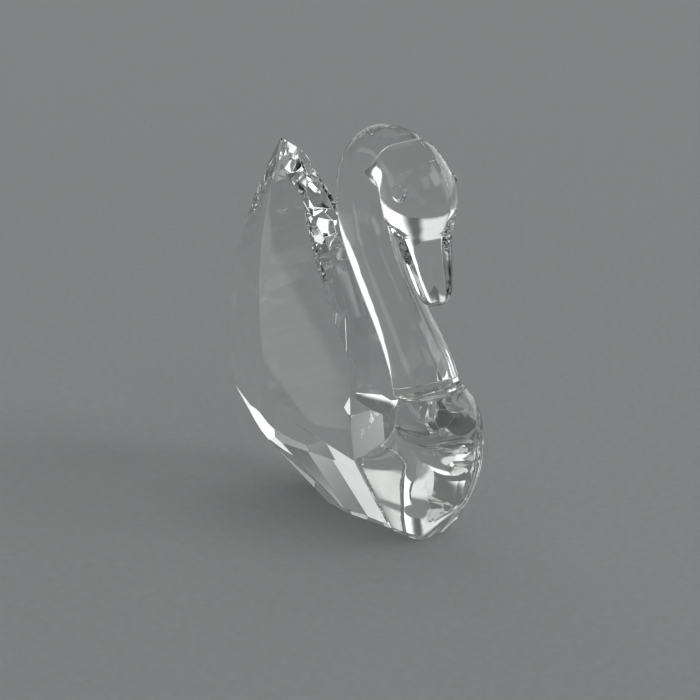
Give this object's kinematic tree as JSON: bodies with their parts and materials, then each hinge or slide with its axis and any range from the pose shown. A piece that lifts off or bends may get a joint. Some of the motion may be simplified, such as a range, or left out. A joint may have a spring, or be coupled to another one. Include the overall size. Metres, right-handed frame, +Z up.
{
  "type": "crystal swan figurine",
  "caption": "Small standing swan in clear cut crystal: a faceted wing body, a rounded breast and a hooked neck with head and beak, bonded together; it stands on a flat base.",
  "frame": {"origin": "centre of the bounding box in plan, on the plane the swan stands on", "axes": "+Z up; -Y is the way the swan faces, from tail to breast; +X is the swan's left side; the swan mirrors about the plane X = 0"},
  "size_m": [0.0178, 0.0454, 0.05],
  "materials": {
    "wing_crystal": "polished flat facets",
    "breast_crystal": "fire polished with ground flats",
    "neck_crystal": "fire polished",
    "clear_adhesive": "clear cured film"
  },
  "bodies": {
    "root": {"wing_body": "wing_crystal", "breast": "breast_crystal", "neck_head": "neck_crystal", "body_bond": "clear_adhesive", "neck_bond": "clear_adhesive"}
  },
  "joints": []
}
